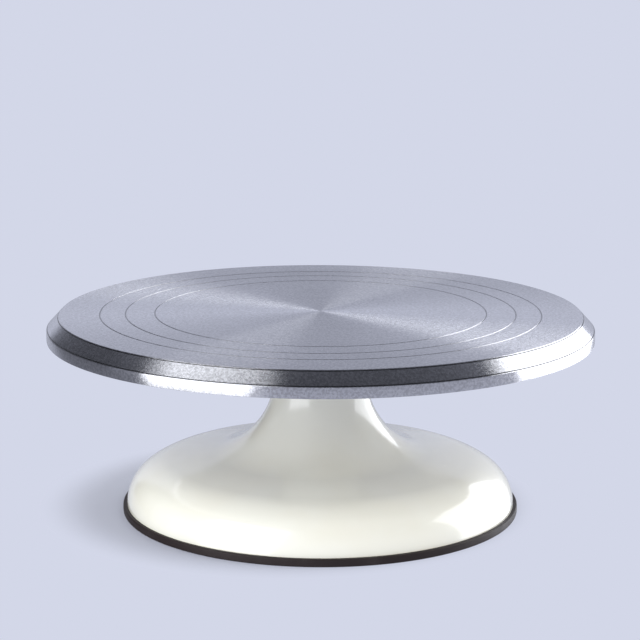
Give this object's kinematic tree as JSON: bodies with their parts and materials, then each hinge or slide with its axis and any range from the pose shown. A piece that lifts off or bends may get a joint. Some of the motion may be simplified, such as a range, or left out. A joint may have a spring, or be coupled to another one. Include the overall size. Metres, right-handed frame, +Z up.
{
  "type": "cake turntable",
  "caption": "Footed cake turntable: a wide turned aluminium plate that spins freely on ball bearings in a flared, cream enamelled cast pedestal with a rubber foot ring.",
  "frame": {"origin": "on the floor under the spindle's axis, at the middle of the foot ring's lower face", "axes": "+Z up along the spindle; the turntable is round, and +X lies along one hub screw"},
  "size_m": [0.305, 0.305, 0.113],
  "materials": {
    "turned_aluminium": "satin, turned with fine concentric marks",
    "hub_steel": "satin",
    "zinc_steel": "satin",
    "black_oxide_steel": "satin",
    "ground_steel": "polished",
    "spring_steel": "satin",
    "bearing_steel": "polished",
    "ball_steel": "polished",
    "cage_nylon": "satin",
    "shield_steel": "satin",
    "seal_rubber": "matte",
    "cap_plastic": "satin",
    "cream_enamel": "gloss",
    "foot_rubber": "matte"
  },
  "bodies": {
    "base": {"pedestal": "cream_enamel", "foot_ring": "foot_rubber", "bottom_cap": "cap_plastic", "dust_seal": "seal_rubber", "upper_circlip": "spring_steel", "lower_circlip": "spring_steel", "upper_bearing_outer_race": "bearing_steel", "upper_bearing_top_shield": "shield_steel", "upper_bearing_bottom_shield": "shield_steel", "lower_bearing_outer_race": "bearing_steel", "lower_bearing_top_shield": "shield_steel", "lower_bearing_bottom_shield": "shield_steel"},
    "turntable": {"turntable_plate": "turned_aluminium", "plate_hub": "hub_steel", "hub_set_screw": "black_oxide_steel", "hub_screws": "zinc_steel", "spindle": "ground_steel", "bearing_spacer": "zinc_steel", "spindle_washer": "zinc_steel", "spindle_lock_washer": "spring_steel", "spindle_nut": "zinc_steel", "upper_bearing_inner_race": "bearing_steel", "lower_bearing_inner_race": "bearing_steel"},
    "upper_ball_set": {"upper_bearing_balls": "ball_steel", "upper_bearing_cage": "cage_nylon"},
    "lower_ball_set": {"lower_bearing_balls": "ball_steel", "lower_bearing_cage": "cage_nylon"}
  },
  "joints": [
    {"name": "plate_spin", "type": "hinge", "parent": "base", "child": "turntable", "pos_m": [0, 0, 0.1], "axis": [0, 0, 1], "continuous": true},
    {"name": "upper_balls_orbit", "type": "hinge", "parent": "base", "child": "upper_ball_set", "pos_m": [0, 0, 0.086], "axis": [0, 0, 1], "continuous": true},
    {"name": "lower_balls_orbit", "type": "hinge", "parent": "base", "child": "lower_ball_set", "pos_m": [0, 0, 0.046], "axis": [0, 0, 1], "continuous": true}
  ],
  "couplings": [
    {"joint": "upper_balls_orbit", "follows": "plate_spin", "ratio": 0.40769},
    {"joint": "lower_balls_orbit", "follows": "plate_spin", "ratio": 0.40769}
  ]
}
